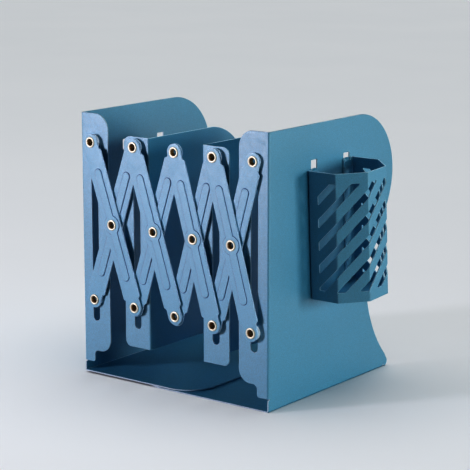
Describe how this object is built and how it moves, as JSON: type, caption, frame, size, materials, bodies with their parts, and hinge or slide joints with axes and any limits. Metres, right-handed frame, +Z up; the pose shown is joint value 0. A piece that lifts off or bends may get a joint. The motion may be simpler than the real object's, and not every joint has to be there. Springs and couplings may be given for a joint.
{
  "type": "desktop shelf",
  "caption": "Sheet-steel desktop book shelf that widens on a riveted front scissor linkage, with hanging dividers and a slotted pen holder hooked on one end.",
  "frame": {"origin": "on the table, on the underside of the lower base plate, midway between the end plates and midway along their depth", "axes": "+Z up, +X to the right seen from the linkage side, +Y to the rear, away from the linkage"},
  "size_m": [0.2129, 0.1646, 0.2],
  "materials": {
    "plate_paint": "fine-textured satin powder coat, dusty blue",
    "bar_paint": "satin powder coat, dusty blue",
    "holder_paint": "fine-textured satin powder coat, dusty blue",
    "rivet_brass": "bright rolled brass",
    "washer_steel": "zinc plated"
  },
  "bodies": {
    "right_end": {"right_end_plate": "plate_paint", "top_rivet_4": "rivet_brass", "top_back_washer_4": "washer_steel"},
    "rear_bar_4": {"rear_bar_4": "bar_paint", "middle_rivet_4": "rivet_brass"},
    "front_bar_4": {"front_bar_4": "bar_paint", "bottom_rivet_4": "rivet_brass", "bottom_back_washer_4": "washer_steel", "bottom_spacer_4": "washer_steel"},
    "right_divider": {"right_divider": "plate_paint", "top_rivet_3": "rivet_brass", "top_back_washer_3": "washer_steel", "top_mid_washer_3": "washer_steel"},
    "rear_bar_3": {"rear_bar_3": "bar_paint", "middle_rivet_3": "rivet_brass"},
    "front_bar_3": {"front_bar_3": "bar_paint", "bottom_rivet_3": "rivet_brass", "bottom_back_washer_3": "washer_steel", "bottom_mid_washer_3": "washer_steel", "top_rivet_2": "rivet_brass", "top_mid_washer_2": "washer_steel"},
    "rear_bar_2": {"rear_bar_2": "bar_paint", "middle_rivet_2": "rivet_brass"},
    "front_bar_2": {"front_bar_2": "bar_paint", "bottom_rivet_2": "rivet_brass", "bottom_mid_washer_2": "washer_steel"},
    "left_divider": {"left_divider": "plate_paint", "top_rivet_1": "rivet_brass", "top_back_washer_1": "washer_steel", "top_mid_washer_1": "washer_steel"},
    "rear_bar_1": {"rear_bar_1": "bar_paint", "middle_rivet_1": "rivet_brass", "bottom_rivet_0": "rivet_brass", "bottom_back_washer_0": "washer_steel"},
    "front_bar_1": {"front_bar_1": "bar_paint", "bottom_rivet_1": "rivet_brass", "bottom_back_washer_1": "washer_steel", "bottom_mid_washer_1": "washer_steel"},
    "left_end": {"left_end_plate": "plate_paint", "top_rivet_0": "rivet_brass", "top_back_washer_0": "washer_steel", "top_spacer_0": "washer_steel"},
    "pen_holder": {"pen_holder": "holder_paint"}
  },
  "joints": [
    {"name": "width", "type": "hinge", "parent": "right_end", "child": "rear_bar_4", "pos_m": [0.07385, -0.0815, 0.1789], "axis": [0, 1, 0], "range_deg": [-3, 48.73]},
    {"name": "front_bar_4_pivot", "type": "hinge", "parent": "rear_bar_4", "child": "front_bar_4", "pos_m": [0.0569, -0.0815, 0.11807], "axis": [0, 1, 0], "range_deg": [-97.6, 6.1]},
    {"name": "right_divider_pivot", "type": "hinge", "parent": "front_bar_4", "child": "right_divider", "pos_m": [0.03995, -0.0815, 0.1789], "axis": [0, 1, 0], "range_deg": [-3.1, 48.8]},
    {"name": "rear_bar_3_pivot", "type": "hinge", "parent": "right_divider", "child": "rear_bar_3", "pos_m": [0.03995, -0.0815, 0.1789], "axis": [0, 1, 0], "range_deg": [-3.1, 48.8]},
    {"name": "front_bar_3_pivot", "type": "hinge", "parent": "rear_bar_3", "child": "front_bar_3", "pos_m": [0.02265, -0.0815, 0.11817], "axis": [0, 1, 0], "range_deg": [-97.6, 6.1]},
    {"name": "rear_bar_2_pivot", "type": "hinge", "parent": "front_bar_3", "child": "rear_bar_2", "pos_m": [0.00535, -0.0815, 0.1789], "axis": [0, 1, 0], "range_deg": [-6.1, 97.6]},
    {"name": "front_bar_2_pivot", "type": "hinge", "parent": "rear_bar_2", "child": "front_bar_2", "pos_m": [-0.01385, -0.0815, 0.11874], "axis": [0, 1, 0], "range_deg": [-97.6, 6.1]},
    {"name": "left_divider_pivot", "type": "hinge", "parent": "front_bar_2", "child": "left_divider", "pos_m": [-0.03305, -0.0815, 0.1789], "axis": [0, 1, 0], "range_deg": [-3.1, 48.8]},
    {"name": "rear_bar_1_pivot", "type": "hinge", "parent": "left_divider", "child": "rear_bar_1", "pos_m": [-0.03305, -0.0815, 0.1789], "axis": [0, 1, 0], "range_deg": [-3.1, 48.8]},
    {"name": "front_bar_1_pivot", "type": "hinge", "parent": "rear_bar_1", "child": "front_bar_1", "pos_m": [-0.05345, -0.0815, 0.11914], "axis": [0, 1, 0], "range_deg": [-97.6, 6.1]},
    {"name": "left_end_pivot", "type": "hinge", "parent": "front_bar_1", "child": "left_end", "pos_m": [-0.07385, -0.0815, 0.1789], "axis": [0, 1, 0], "range_deg": [-3.1, 48.8]},
    {"name": "pen_holder_lift", "type": "slide", "parent": "right_end", "child": "pen_holder", "axis": [0, 0, 1], "range_m": [0, 0.0035]}
  ],
  "couplings": [
    {"joint": "front_bar_4_pivot", "follows": "width", "ratio": -2},
    {"joint": "right_divider_pivot", "follows": "width", "ratio": 1},
    {"joint": "rear_bar_3_pivot", "follows": "width", "ratio": 0.99323},
    {"joint": "front_bar_3_pivot", "follows": "width", "ratio": -1.9865},
    {"joint": "rear_bar_2_pivot", "follows": "width", "ratio": 1.9495},
    {"joint": "front_bar_2_pivot", "follows": "width", "ratio": -1.9126},
    {"joint": "left_divider_pivot", "follows": "width", "ratio": 0.95629},
    {"joint": "rear_bar_1_pivot", "follows": "width", "ratio": 0.93275},
    {"joint": "front_bar_1_pivot", "follows": "width", "ratio": -1.8655},
    {"joint": "left_end_pivot", "follows": "width", "ratio": 0.93275}
  ]
}
